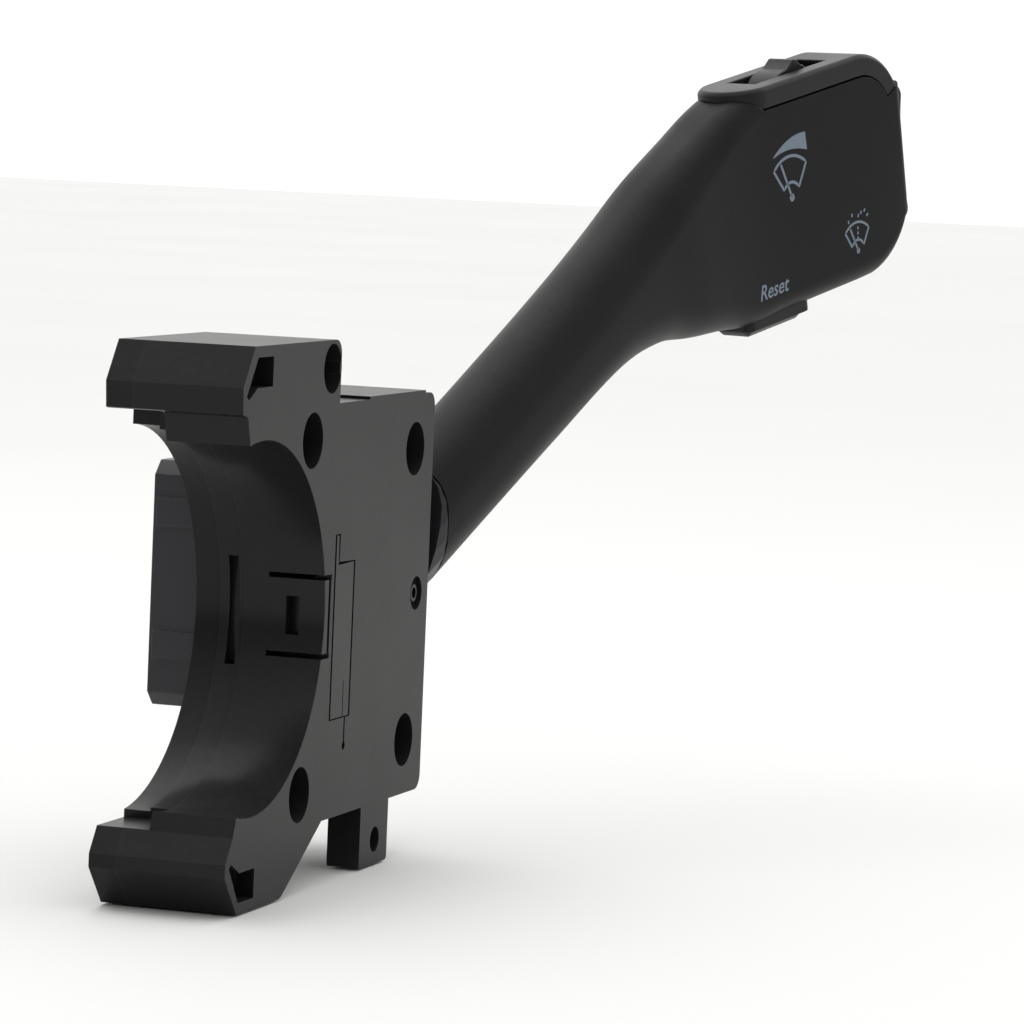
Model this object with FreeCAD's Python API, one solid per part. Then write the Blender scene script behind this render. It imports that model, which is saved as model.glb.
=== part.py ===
import FreeCAD, Part
import math
import os

V = FreeCAD.Vector
X_AXIS = V(1, 0, 0)
Y_AXIS = V(0, 1, 0)
Z_AXIS = V(0, 0, 1)

# The origin is the centre of the steering column seat, on the face towards the driver.
# +X runs to the lever, +Y away from the driver and +Z up. Sizes are in millimetres.

# Switch housing
column_r = 30.0
column_band_r = 30.6
column_rear_r = 31.2
front_band = 14.2
body_depth = 18.6
cover_depth = 4.6
wall = 2.4
column_wall = 3.0
arm_half = 45.0
plate_half = 34.5
plate_right = 80.5
arm_right = 33.3
arm_tip = -10.2
arm_mouth = -6.2
arm_corner = 2.6
flank_foot = 14.5
hole_r = 4.6
arm_hole_r = 4.1
column_hole_x = 21.4
column_hole_z = 28.9
edge_hole_x = 71.2
edge_hole_z = 25.1
arm_hole_x = 29.3
arm_hole_z = 40.3
boss_wall = 2.0
tab_left = 51.2
tab_right = 64.8
tab_depth = 5.8
tab_hole_r = 2.2
tab_hole_x = 58.5
tab_hole_up = 4.2
pocket_depth = 3.2
relief_top = 10.8
relief_foot = 12.7
pin_recess_r = 2.9
pin_recess = 1.0

# Cover screws and their posts
screw_x = 50.5
screw_inset = 4.2
post_half = 2.8
screw_r = 1.2
screw_bore_r = 1.25
screw_hole_r = 1.6
screw_grip = 9.0
head_half = 2.6
head_height = 1.5

# Snap tongue and insert beside it
tongue_top = 5.5
tongue_foot = -6.6
tongue_length = 9.8
tongue_thick = 1.5
slot_width = 0.9
key_left = 34.3
key_right = 43.2
key_top = 7.8
key_foot = -17.9
key_finger_top = 12.6
key_finger_width = 1.5
key_thick = 1.5
key_gap = 0.2
hook_x = 41.3
hook_length = 5.0
hook_half = 0.7
slot_depth = 1.6

# Swing carrier, its pins and the lever's core
pivot_x = 74.6
pin_r = 1.5
pin_clear = 0.05
gap = 0.3
cheek_thick = 2.0
cheek_r = 8.0
cheek_inset = 2.6
bar_half = 3.0
bar_thick = 2.6
core_width = 6.0
core_height = 7.0
core_tail = 8.4
core_length = 60.0
eye_r = 3.6
stub_half = 2.9
swing_down = 5.5
swing_up = 16.5
pull_angle = 5.5
root_gap = 0.4
window_top = 12.6
window_foot = -10.4
window_inset = 4.7

# Click stops and contact slide
arm_reach = 23.6
beam_half = 3.6
plunger_r = 2.1
plunger_reach = 27.6
plunger_back = 17.4
nose_r = 1.0
nose_length = 1.6
click_step = 5.5
click_depth = 0.5
cam_back = 4.5
spring_wire = 0.5
spring_r = 1.5
spring_turns = 3
spring_length = 4.8
drive_arm = 22.0
push_arm = 6.4
push_z = -4.0
push_r = 1.45
push_head_half = 1.9
push_head = 0.8
push_travel = 0.65
board_thick = 1.6
board_left = 36.2
board_right = 62.0
board_room = 7.5
strip_thick = 0.25
slide_half = 5.0
slide_left = 49.6
slide_right = 57.6
guide_wall = 1.8
guide_half = 14.0

# Connector
plug_left = 35.4
plug_right = 53.0
plug_top = 23.0
plug_foot = -18.2
plug_depth = 10.0
plug_wall = 1.6
terminal = 0.8
terminal_rows = 6
terminal_pitch = 5.0
terminal_side = 2.6
latch_half = 2.0
latch_depth = 4.0
pin_inset = 4.6

# Lever path, from the pivot: a straight neck, an S-bend and a straight paddle
lever_lift = 1.5
neck_yaw = 13.0
neck_pitch = 30.4
paddle_yaw = 20.0
paddle_pitch = 13.1
bend_start = 93.0
bend_end = 147.5
seam_x = 88.0
paddle_end = 43.5
neck_top = 9.5
neck_foot = 10.3
neck_half_width = 9.0
neck_corner = 8.6
paddle_half_height = 22.4
paddle_half_width = 7.5
paddle_edge = 4.5
paddle_corner = 14.0
lever_wall = 2.0
bend_steps = 9
skin_chords = 5
cavity_chords = 1
cut_tolerance = 0.001

# Cap and interval slider
cap_height = 4.5
cap_half_width = 7.4
cap_start = -9.0
cap_corner = 14.0
cap_last = 24.0
cap_chamfer = 0.8
seam = 0.3
well_start = 0.4
well_half_width = 3.2
well_depth = 2.6
slider_length = 14.0
slider_travel = 9.0
stem_foot = 8.4

# End rocker
rocker_top = 13.6
rocker_foot = -13.6
rocker_half_width = 5.0
rocker_back = 4.7
rocker_lobe = 3.3
rocker_waist = 1.8
rocker_room = 0.7
rocker_back_room = 2.0
rocker_pin_r = 0.9
rocker_pin_inset = 1.9

# Reset button below the paddle, and the board inside
button_start = -9.6
button_end = 8.3
button_half_width = 4.0
button_proud = 2.6
button_travel = 1.5
button_seat = 23.0
frame_width = 1.1
frame_proud = 1.2
frame_depth = 2.4
lever_board_back = 5.0
lever_board_thick = 1.2
lever_board_start = -9.0
lever_board_end = 36.5
lever_board_top = 15.0
lever_board_foot = -16.0
switch_height = 3.4

os.makedirs("parts", exist_ok=True)

housing_depth = body_depth + cover_depth
mid_depth = housing_depth / 2
tab_foot = arm_half
board_half = plate_half - board_room
board_front = body_depth - board_thick
carrier_front = wall + cheek_inset
carrier_rear = housing_depth - carrier_front
lever_end = bend_end + paddle_end
stop_count = round((swing_down + swing_up) / click_step) + 1
well_end = well_start + slider_length + slider_travel + 2 * gap
groove = paddle_half_height - cap_height
slider_middle = (well_start + well_end) / 2
button_middle = (button_start + button_end) / 2
button_post_v = -18.4
board_face = lever_board_back - lever_board_thick
pivot = V(pivot_x, mid_depth, 0)


def save(name, *shapes):
    """Write one sub-part, as one solid or as a group of separate solids."""
    solids = []
    for shape in shapes:
        solids += shape.Solids
    whole = solids[0] if len(solids) == 1 else Part.makeCompound(solids)
    whole.exportStep("parts/%s.step" % name)


def box(x, y, z):
    """A box between two X, two Y and two Z values."""
    return Part.makeBox(x[1] - x[0], y[1] - y[0], z[1] - z[0], V(x[0], y[0], z[0]))


def rod(radius, start, end):
    """A round rod between two points."""
    return Part.makeCylinder(radius, (end - start).Length, start, end - start)


def rod_y(radius, x, z, y_from, y_to):
    """A round rod along the depth of the housing."""
    return rod(radius, V(x, y_from, z), V(x, y_to, z))


def sided_y(sides, half_flats, x, z, y_from, y_to):
    """An upright prism with a flat at its top and foot, along the depth of the housing."""
    radius = half_flats / math.cos(math.pi / sides)
    turns = [2 * math.pi * (side + 0.5) / sides + math.pi / 2 for side in range(sides)]
    corners = [(x + radius * math.cos(turn), z + radius * math.sin(turn)) for turn in turns]
    return plate_y(corners, y_from, y_to)


def plate_y(points, y_from, y_to):
    """A plate with its outline in X and Z, between two depths."""
    corners = [V(x, y_from, z) for x, z in points]
    face = Part.Face(Part.makePolygon(corners + corners[:1]))
    return face.extrude(V(0, y_to - y_from, 0))


def round_depth_edges(solid, spots, radius):
    """Round the edges that run along the depth at the given X and Z."""
    chosen = []
    for edge in solid.Edges:
        start = edge.Vertexes[0].Point
        end = edge.Vertexes[-1].Point
        if abs(start.x - end.x) > 0.01 or abs(start.z - end.z) > 0.01 or edge.Length < 0.5:
            continue
        if any(math.hypot(start.x - x, start.z - z) < 0.05 for x, z in spots):
            chosen.append(edge)
    return solid.makeFillet(radius, chosen)


# Housing outline

def housing_blank(y_from, y_to, inset=0.0):
    """The C-shaped outline of the housing, still without its column seat."""
    right = plate_right - inset
    half = plate_half - inset
    arm = arm_half - inset
    arm_x = arm_right - inset
    points = [
        (arm_mouth, arm_half - 15.6), (arm_mouth - 1.5, arm_half - 11.1), (arm_tip + 0.4, arm_half - 10.6),
        (arm_tip, arm_half - 6.4), (arm_tip + 4.6, arm), (arm_x, arm), (arm_x, half),
        (right, half), (right, -half), (arm_x - 1, -half), (flank_foot, -arm), (arm_tip + 5.6, -arm),
        (arm_tip, 6.4 - arm_half), (arm_tip, 8.6 - arm_half), (arm_mouth - 1.2, 12.6 - arm_half),
        (arm_mouth, 15.6 - arm_half)]
    blank = plate_y(points, y_from, y_to)
    blank = round_depth_edges(blank, [(arm_x, arm), (right, half), (right, -half)], arm_corner)
    return round_depth_edges(blank, [(flank_foot, -arm)], 4.0)


def column_seat(radius, y_from, y_to):
    return rod_y(radius, 0, 0, y_from, y_to)


def arm_relief(y_from, y_to):
    """The arms' tips are relieved behind the front band of the seat."""
    upper = box((arm_tip - 1, 1.4), (y_from, y_to), (0, arm_half - relief_top))
    lower = box((arm_tip - 1, 3.6), (y_from, y_to), (relief_foot - arm_half, 0))
    return upper.fuse(lower)


screw_places = [(screw_x, plate_half - screw_inset), (screw_x, screw_inset - plate_half)]
mount_holes = [(column_hole_x, column_hole_z, hole_r), (column_hole_x, -column_hole_z, hole_r),
               (edge_hole_x, edge_hole_z, hole_r), (edge_hole_x, -edge_hole_z, hole_r),
               (arm_hole_x, arm_hole_z, arm_hole_r)]


def side_window():
    """The opening in the right wall, where the lever's core comes out."""
    return box((plate_right - wall - 1, plate_right + 1), (window_inset, housing_depth - window_inset),
               (window_foot, window_top))


def boss(x, z, r):
    """The square boss that carries a fastening hole through the housing."""
    half = r + boss_wall
    return box((x - half, x + half), (0, housing_depth), (z - half, z + half))


def screw_post(x, z, y_to):
    """The square post of a cover screw, joined to the nearest wall."""
    low, high = sorted((z - math.copysign(post_half, z), math.copysign(plate_half - 0.2, z)))
    return box((x - post_half, x + post_half), (0, y_to), (low, high))


def front_housing():
    body = housing_blank(0, body_depth)
    step = box((screw_x - post_half, plate_right - 5), (0, body_depth), (plate_half - 1, plate_half + 0.5))
    body = body.fuse(step).removeSplitter()
    body = body.cut(column_seat(column_r, -1, front_band))
    body = body.cut(column_seat(column_band_r, front_band, body_depth + 1))
    body = body.cut(arm_relief(front_band, body_depth + 1))
    cavity = box((28.4, plate_right - wall), (wall, body_depth + 1), (wall - plate_half, plate_half - wall))
    cavity = cavity.cut(column_seat(column_r + column_wall, 0, body_depth + 2))
    for x, z, r in mount_holes:
        cavity = cavity.cut(boss(x, z, r))
    for x, z in screw_places:
        cavity = cavity.cut(screw_post(x, z, body_depth + 2))
    body = body.cut(cavity)
    for x, z, r in mount_holes:
        body = body.cut(rod_y(r, x, z, -1, body_depth + 1))
    for x, z in screw_places:
        body = body.cut(rod_y(screw_bore_r, x, z, body_depth - screw_grip - 1, body_depth + 1))
    body = body.cut(side_window())
    # the front pin of the carrier shows in a round recess
    body = body.cut(rod_y(pin_recess_r, pivot_x, 0, -1, pin_recess))
    body = body.cut(rod_y(pin_r + pin_clear, pivot_x, 0, 0, wall + 1))
    # snap tongue in the column wall, with its window
    face_x = column_r
    tongue_back = face_x + tongue_thick
    for z in (tongue_top, tongue_foot - slot_width):
        body = body.cut(box((face_x - 2, tongue_back + 1.2), (-1, tongue_length), (z, z + slot_width)))
    body = body.cut(box((tongue_back, tongue_back + 1.0), (-1, tongue_length),
                        (tongue_foot - slot_width, tongue_top + slot_width)))
    body = body.cut(box((face_x - 2, face_x + 2.5), (4.4, 6.8), (-3.8, 2.6)))
    # long slot in the seat's middle band
    body = body.cut(box((face_x - 2, face_x + 1.7), (front_band + 1.0, front_band + 2.8), (-9.4, 8.6)))
    # pockets in the faces of both arms' tips
    top = arm_half - 1.8
    foot = arm_half - 6.6
    for side in (1, -1):
        tip = [(-4.0, side * foot), (-7.6, side * (foot - 1.8)), (-8.6, side * (foot - 1.2)),
               (-4.2, side * top), (2.5, side * top), (2.5, side * foot)]
        body = body.cut(plate_y(tip, -1, pocket_depth))
    body = body.cut(key_outline(key_gap, -1, key_thick + key_gap))
    body = body.cut(box((hook_x - 0.3, hook_x + 0.3), (-1, slot_depth), (key_foot - hook_length, key_foot)))
    body = body.cut(sided_y(6, hook_half, hook_x, key_foot - hook_length, -1, slot_depth))
    tab = box((tab_left, tab_right), (0, tab_depth), (-tab_foot, 1 - plate_half))
    tab = round_depth_edges(tab, [(tab_left, -tab_foot), (tab_right, -tab_foot)], 0.8)
    body = body.fuse(tab).removeSplitter()
    body = body.cut(rod_y(tab_hole_r, tab_hole_x, tab_hole_up - tab_foot, -1, tab_depth + 1))
    return body


def key_outline(grow, y_from, y_to):
    """The key-shaped insert: a plate with a finger at its upper left corner."""
    plate = box((key_left - grow, key_right + grow), (y_from, y_to), (key_foot - grow, key_top + grow))
    finger = box((key_left - grow, key_left + key_finger_width + grow), (y_from, y_to),
                 (key_top - 1, key_finger_top + grow))
    return plate.fuse(finger).removeSplitter()


def insert_key():
    key = key_outline(0, 0, key_thick)
    groove_line = box((key_right - 3.2, key_right - 2.9), (-1, 0.4), (key_foot - 1, key_foot + 6))
    return key.cut(groove_line)


def board_posts():
    return [(board_left + 2.4, board_half - 2.4), (board_right - 2.4, board_half - 2.4),
            (board_left + 2.4, 2.4 - board_half), (board_right - 2.4, 2.4 - board_half)]


def rear_cover():
    inner = housing_depth - wall
    cover = housing_blank(body_depth, housing_depth)
    cover = cover.cut(column_seat(column_rear_r, body_depth - 1, housing_depth + 1))
    cover = cover.cut(arm_relief(body_depth - 1, housing_depth + 1))
    hollow = box((28.4, plate_right - wall), (body_depth - 1, inner), (wall - plate_half, plate_half - wall))
    hollow = hollow.cut(column_seat(column_rear_r + 1.6, 0, housing_depth))
    for x, z, r in mount_holes:
        hollow = hollow.cut(boss(x, z, r))
    for x, z in screw_places:
        hollow = hollow.cut(screw_post(x, z, housing_depth))
    for x, z in board_posts():
        hollow = hollow.cut(box((x - 2.0, x + 2.0), (0, housing_depth), (z - 2.0, z + 2.0)))
    cover = cover.cut(hollow)
    for x, z, r in mount_holes:
        cover = cover.cut(rod_y(r, x, z, body_depth - 1, housing_depth + 1))
    for x, z in screw_places:
        cover = cover.cut(rod_y(screw_hole_r, x, z, body_depth - 1, housing_depth + 1))
    cover = cover.cut(side_window())
    cover = cover.cut(rod_y(pin_r + pin_clear, pivot_x, 0, inner - 1, housing_depth - 0.8))
    spigot = plug_spigot(key_gap / 2, body_depth - 1, housing_depth + 1)
    return cover.cut(spigot)


def cover_screws():
    """Two screws with hexagon heads."""
    screws = []
    for x, z in screw_places:
        shank = rod_y(screw_r, x, z, body_depth - screw_grip, housing_depth)
        head = sided_y(6, head_half, x, z, housing_depth, housing_depth + head_height)
        screws.append(shank.fuse(head).removeSplitter())
    return screws


# Connector and circuit board

def plug_spigot(grow, y_from, y_to):
    inset = 2.6
    return box((plug_left + inset - grow, plug_right - inset + grow), (y_from, y_to),
               (plug_foot + inset - grow, plug_top - inset + grow))


def terminal_places():
    centre_x = (plug_left + plug_right) / 2
    centre_z = (plug_top + plug_foot) / 2
    places = []
    for side in (-1, 1):
        for row in range(terminal_rows):
            from_middle = row - (terminal_rows - 1) / 2
            places.append((centre_x + side * terminal_side, centre_z + from_middle * terminal_pitch))
    return places


def connector_shroud():
    rear = housing_depth + plug_depth
    centre_z = (plug_top + plug_foot) / 2
    cut = 2.4
    outline = [(plug_left + cut, plug_foot), (plug_right - cut, plug_foot), (plug_right, plug_foot + cut),
               (plug_right, plug_top - cut), (plug_right - cut, plug_top), (plug_left + cut, plug_top),
               (plug_left, plug_top - cut), (plug_left, plug_foot + cut)]
    shroud = plate_y(outline, housing_depth, rear)
    for z in (centre_z + 9.6, centre_z - 12.6):
        collar = box((plug_left - 0.8, plug_right + 0.8), (housing_depth, rear - 0.8), (z, z + 4.8))
        shroud = shroud.fuse(collar)
    shroud = shroud.fuse(plug_spigot(0, housing_depth - wall, housing_depth + 0.5)).removeSplitter()
    socket = box((plug_left + plug_wall, plug_right - plug_wall), (housing_depth + 1.6, rear + 1),
                 (plug_foot + plug_wall + 1, plug_top - plug_wall - 1))
    shroud = shroud.cut(socket)
    for x, z in terminal_places():
        hole = terminal / 2 + 0.05
        shroud = shroud.cut(box((x - hole, x + hole), (body_depth, rear), (z - hole, z + hole)))
    # keyway for the plug's latch
    return shroud.cut(box((plug_right - plug_wall - 1, plug_right + 2), (rear - latch_depth, rear + 1),
                          (centre_z - latch_half, centre_z + latch_half)))


def connector_pins():
    half = terminal / 2
    tip = housing_depth + plug_depth - pin_inset
    return [box((x - half, x + half), (board_front - 0.6, tip), (z - half, z + half))
            for x, z in terminal_places()]


def circuit_board():
    board = box((board_left, board_right), (board_front, body_depth), (-board_half, board_half))
    for x, z in terminal_places():
        hole = terminal / 2 + pin_clear
        board = board.cut(box((x - hole, x + hole), (board_front - 1, body_depth + 1), (z - hole, z + hole)))
    return board


strip_xs = [slide_left + 1.6 + 1.6 * track for track in range(4)]


def contact_strips():
    half = guide_half - 0.8
    return [box((x - 0.5, x + 0.5), (board_front - strip_thick, board_front), (-half, half))
            for x in strip_xs]


def slide_guide():
    """The frame on the board that holds the contact slide and lets it run along Z."""
    front = board_front - 3.8
    left = slide_left - gap
    right = slide_right + gap
    frame = box((left - guide_wall, right + guide_wall), (front, board_front),
                (-guide_half - guide_wall, guide_half + guide_wall))
    return frame.cut(box((left, right), (front - 1, board_front + 1), (-guide_half, guide_half)))


def mode_slider():
    front = board_front - 3.4
    rear = board_front - strip_thick - 0.5
    block = box((slide_left, slide_right), (front, rear), (-slide_half, slide_half))
    fork_x = pivot_x - drive_arm
    fork = box((fork_x - 2.0, fork_x + 2.9), (front - 1, rear - 0.6), (-pin_r - 0.35, pin_r + 0.35))
    return block.cut(fork)


def mode_contacts():
    rear = board_front - strip_thick - 0.5
    bridges = []
    for pair in (0, 2):
        span = (strip_xs[pair] - 0.4, strip_xs[pair + 1] + 0.4)
        for z in (-3.6, 3.0):
            bridges.append(box(span, (rear, rear + 0.3), (z, z + 0.6)))
    return bridges


# Carrier, pins and click stops

def swing_carrier():
    front = carrier_front
    rear = carrier_rear
    cheeks = []
    for near, far, stub in ((front, front + cheek_thick, wall + gap),
                            (rear - cheek_thick, rear, housing_depth - wall - gap)):
        cheek = rod_y(cheek_r, pivot_x, 0, near, far)
        cheek = cheek.cut(box((pivot_x + bar_half, pivot_x + 20), (0, housing_depth), (-20, 20)))
        cheek = cheek.fuse(box((pivot_x - 12, pivot_x), (near, far), (-beam_half, beam_half)))
        low, high = sorted((stub, near if stub < near else far))
        cheeks.append(cheek.fuse(sided_y(8, stub_half, pivot_x, 0, low, high)))
    carrier = cheeks[0].fuse(cheeks[1])
    for side in (1, -1):
        low, high = sorted((side * (cheek_r + 1 - bar_thick), side * (cheek_r + 1)))
        carrier = carrier.fuse(box((pivot_x - bar_half, pivot_x + bar_half), (front, rear), (low, high)))
    # the beam to the click stops carries the plunger and the drive pin
    beam = box((pivot_x - arm_reach, pivot_x - 10), (front, front + 6.0), (-beam_half, beam_half))
    carrier = carrier.fuse(beam)
    # the rear cheek holds the washer push rod
    eye = box((washer_x - 3.4, washer_x + 2.4), (rear - cheek_thick, rear), (push_z - 3.4, 0))
    drive_pin = rod_y(pin_r, pivot_x - drive_arm, 0, front + 5, board_front - 1.4)
    carrier = carrier.fuse(eye).fuse(drive_pin).removeSplitter()
    bore_mouth = V(pivot_x - arm_reach - 1, plunger_axis(), 0)
    bore_end = V(pivot_x - plunger_back + spring_length + 0.2, plunger_axis(), 0)
    carrier = carrier.cut(rod(plunger_r + 0.1, bore_mouth, bore_end))
    carrier = carrier.cut(rod(pin_r, pivot - Z_AXIS * 20, pivot + Z_AXIS * 20))
    carrier = carrier.cut(rod_y(pin_r, pivot_x, 0, 0, front + 1.4))
    carrier = carrier.cut(rod_y(pin_r, pivot_x, 0, rear - 1.4, housing_depth))
    return carrier.cut(rod_y(push_r + 0.1, washer_x, push_z, rear - 5, rear + 5))


def pivot_pins():
    return [rod_y(pin_r, pivot_x, 0, 0.4, carrier_front + 1.4),
            rod_y(pin_r, pivot_x, 0, carrier_rear - 1.4, housing_depth - 1.0)]


def cross_pin():
    end = cheek_r + 1
    return rod(pin_r, pivot - Z_AXIS * end, pivot + Z_AXIS * end)


def detent_cam():
    """The click block: shallow round valleys one step apart, on an arc about the pivot."""
    half_step = click_step / 2
    peak_r = plunger_reach + gap
    valley_r = peak_r + click_depth

    def on(radius, swing):
        turn = math.radians(180 - swing)
        return V(pivot_x + radius * math.cos(turn), wall, radius * math.sin(turn))

    stops = [swing_down - click_step * step for step in range(stop_count)]
    edges = []
    for stop in stops:
        valley = Part.Arc(on(peak_r, stop + half_step), on(valley_r, stop), on(peak_r, stop - half_step))
        edges.append(valley.toShape())
    first = on(peak_r, stops[0] + half_step)
    last = on(peak_r, stops[-1] - half_step)
    back_x = pivot_x - valley_r - cam_back
    edges.append(Part.makeLine(last, V(back_x, wall, last.z)))
    edges.append(Part.makeLine(V(back_x, wall, last.z), V(back_x, wall, first.z)))
    edges.append(Part.makeLine(V(back_x, wall, first.z), first))
    return Part.Face(Part.Wire(edges)).extrude(V(0, cheek_inset + 6.0, 0))


def plunger_axis():
    return carrier_front + 3.0


def detent_plunger():
    """A round pin with a narrower nose that rides over the click stops."""
    y = plunger_axis()
    tip = V(pivot_x - plunger_reach, y, 0)
    body = rod(plunger_r, tip + X_AXIS * nose_length, V(pivot_x - plunger_back, y, 0))
    return body.fuse(rod(nose_r, tip, tip + X_AXIS * (nose_length + 0.5))).removeSplitter()


def detent_spring():
    """A coil of square wire behind the plunger."""
    sides = 6
    wires = []
    for step in range(sides * spring_turns + 1):
        turn = 2 * math.pi * step / sides
        along = spring_wire / 2 + (spring_length - spring_wire) * step / (sides * spring_turns)
        corners = []
        for reach, shift in ((-1, -1), (1, -1), (1, 1), (-1, 1)):
            radius = spring_r + reach * spring_wire / 2
            corners.append(V(pivot_x - plunger_back + along + shift * spring_wire / 2,
                             plunger_axis() + radius * math.cos(turn), radius * math.sin(turn)))
        wires.append(Part.makePolygon(corners + corners[:1]))
    return Part.makeLoft(wires, True, True)


# The washer's push rod: the core's tail pushes it back through the rear cheek when the lever is pulled
washer_x = pivot_x - push_arm
contact_face = housing_depth - wall - strip_thick
head_back = carrier_rear - cheek_thick - push_travel - gap
tail_back = head_back - push_head - gap


def washer_plunger():
    rod_body = rod_y(push_r, washer_x, push_z, head_back - push_head, contact_face - push_travel - gap)
    head = box((washer_x - push_head_half, washer_x + push_head_half), (head_back - push_head, head_back),
               (push_z - push_head_half, push_z + push_head_half))
    return rod_body.fuse(head).removeSplitter()


def washer_contact():
    return box((washer_x - 3.0, washer_x + 2.6), (contact_face, housing_depth - wall),
               (push_z - 3.6, push_z + 2.4))


# Lever path and sections

def lever_angles(s):
    """Yaw and pitch of the lever's path at a distance from the pivot, in radians."""
    t = min(max((s - bend_start) / (bend_end - bend_start), 0.0), 1.0)
    blend = t * t * (3 - 2 * t)
    yaw = neck_yaw + (paddle_yaw - neck_yaw) * blend
    pitch = neck_pitch + (paddle_pitch - neck_pitch) * blend
    return math.radians(yaw), math.radians(pitch)


def lever_axis(s):
    yaw, pitch = lever_angles(s)
    return V(math.cos(yaw) * math.cos(pitch), -math.sin(yaw) * math.cos(pitch), math.sin(pitch))


def lever_out(s):
    """The sideways direction of the lever's section, towards the driver."""
    yaw, pitch = lever_angles(s)
    return V(-math.sin(yaw), -math.cos(yaw), 0)


def lever_up(s):
    return lever_out(s).cross(lever_axis(s))


def lever_point(s):
    steps = 200
    point = pivot + Z_AXIS * lever_lift
    for step in range(steps):
        point = point + lever_axis(s * (step + 0.5) / steps) * (s / steps)
    return point


def section(s, top, foot, half_width, corner, chords):
    """A closed section across the lever, with four round corners of a few chords each."""
    centre = lever_point(s)
    up = lever_up(s)
    out = lever_out(s)
    points = []
    for side, height, first in ((1, top, 0), (-1, top, 90), (-1, -foot, 180), (1, -foot, 270)):
        middle = centre + out * (side * (half_width - corner)) + up * (height - math.copysign(corner, height))
        for step in range(chords + 1):
            turn = math.radians(first + 90 * step / chords)
            points.append(middle + out * (corner * math.cos(turn)) + up * (corner * math.sin(turn)))
    return Part.makePolygon(points + points[:1])


def bend_at(share):
    """The distance from the pivot at a share of the S-bend."""
    return bend_start + (bend_end - bend_start) * share


# Lever sections: distance from the pivot, top, foot, half width and corner radius
half_height = paddle_half_height
half_width = paddle_half_width
stations = [
    (0.0, neck_top, neck_foot, neck_half_width, neck_corner),
    (bend_at(-0.6), neck_top + 0.6, neck_foot + 0.4, neck_half_width, neck_corner),
    (bend_at(-0.1), neck_top + 1.3, neck_foot + 1.2, neck_half_width, neck_corner),
    (bend_at(0.2), neck_top + 2.3, neck_foot + 4.8, neck_half_width, neck_corner - 0.4),
    (bend_at(0.42), neck_top + 4.4, neck_foot + 9.0, neck_half_width, neck_corner - 1.0),
    (bend_at(0.64), half_height - 5.6, half_height - 0.7, half_width + 0.9, paddle_edge + 1.9),
    (bend_at(0.83), half_height - 2.0, half_height + 0.9, half_width + 0.3, paddle_edge + 0.7),
    (bend_end, half_height, half_height + 0.4, half_width, paddle_edge),
    (lever_end, half_height, half_height, half_width, paddle_edge)]
skin_places = [0, bend_at(-0.6), bend_at(-0.1)]
skin_places += [bend_at((step + 1) / bend_steps) for step in range(bend_steps)] + [lever_end]
cavity_places = [bend_at(step / bend_steps) for step in range(bend_steps + 1)] + [lever_end - lever_wall]


def lever_sizes(s):
    """The four section sizes at a distance from the pivot, on smooth curves through the stations."""
    index = max(step for step in range(len(stations) - 1) if stations[step][0] <= s)
    near = stations[index]
    far = stations[index + 1]
    before = stations[max(index - 1, 0)]
    after = stations[min(index + 2, len(stations) - 1)]
    span = far[0] - near[0]
    t = (s - near[0]) / span
    sizes = []
    for k in range(1, 5):
        slope_in = (far[k] - before[k]) / (far[0] - before[0]) * span
        slope_out = (after[k] - near[k]) / (after[0] - near[0]) * span
        rise = far[k] - near[k]
        sizes.append(near[k] + t * (slope_in + t * (3 * rise - 2 * slope_in - slope_out
                                                    + t * (slope_in + slope_out - 2 * rise))))
    return sizes


def lever_loft(places, inset, chords):
    wires = []
    for s in places:
        top, foot, half_width, corner = lever_sizes(s)
        wires.append(section(s, top - inset, foot - inset, half_width - inset, corner - inset, chords))
    return Part.makeLoft(wires, True, True)


def lever_block(s_from, s_to, half_width, half_height):
    """A straight bar along the neck, through the pivot."""
    along = lever_axis(0)
    out = lever_out(0)
    up = lever_up(0)
    centre = pivot + along * s_from
    corners = [centre + out * (half_width * a) + up * (half_height * b)
               for a, b in ((1, 1), (-1, 1), (-1, -1), (1, -1))]
    face = Part.Face(Part.makePolygon(corners + corners[:1]))
    return face.extrude(along * (s_to - s_from))


def lever_core():
    """A square bar with an upright eye at the pivot, and a flat on its tail for the push rod."""
    eye_half = cheek_r + 1 - bar_thick - gap
    eye = rod(eye_r, pivot - Z_AXIS * eye_half, pivot + Z_AXIS * eye_half)
    behind_flat = box((pivot_x - 20, pivot_x - eye_r), (tail_back, housing_depth), (-20, 20))
    core = core_bar().cut(behind_flat).fuse(eye).removeSplitter()
    return core.cut(rod(pin_r + pin_clear, pivot - Z_AXIS * 20, pivot + Z_AXIS * 20))


def swept_side():
    """The housing's side as the lever meets it over its swing and its pull."""
    side = box((0, plate_right + root_gap), (-60, 80), (-80, 80))
    swept = []
    for step in range(stop_count):
        for pull in (0, pull_angle):
            turned = side.copy()
            turned.rotate(pivot, Y_AXIS, click_step * step - swing_down)
            turned.rotate(pivot, Z_AXIS, pull)
            swept.append(turned)
    return swept


def beyond_seam(shift):
    return box((seam_x + shift, seam_x + 200), (-100, 80), (-80, 200))


def core_bar():
    return lever_block(-core_tail, core_length, core_width / 2, core_height / 2)


def root_collar():
    collar = lever_loft([0, 45], 0, skin_chords).cut(beyond_seam(-seam / 2))
    return collar.cut(swept_side()).cut(core_bar())


# Paddle pieces are drawn in the paddle's own axes: u along it, w to the driver, v up

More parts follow.
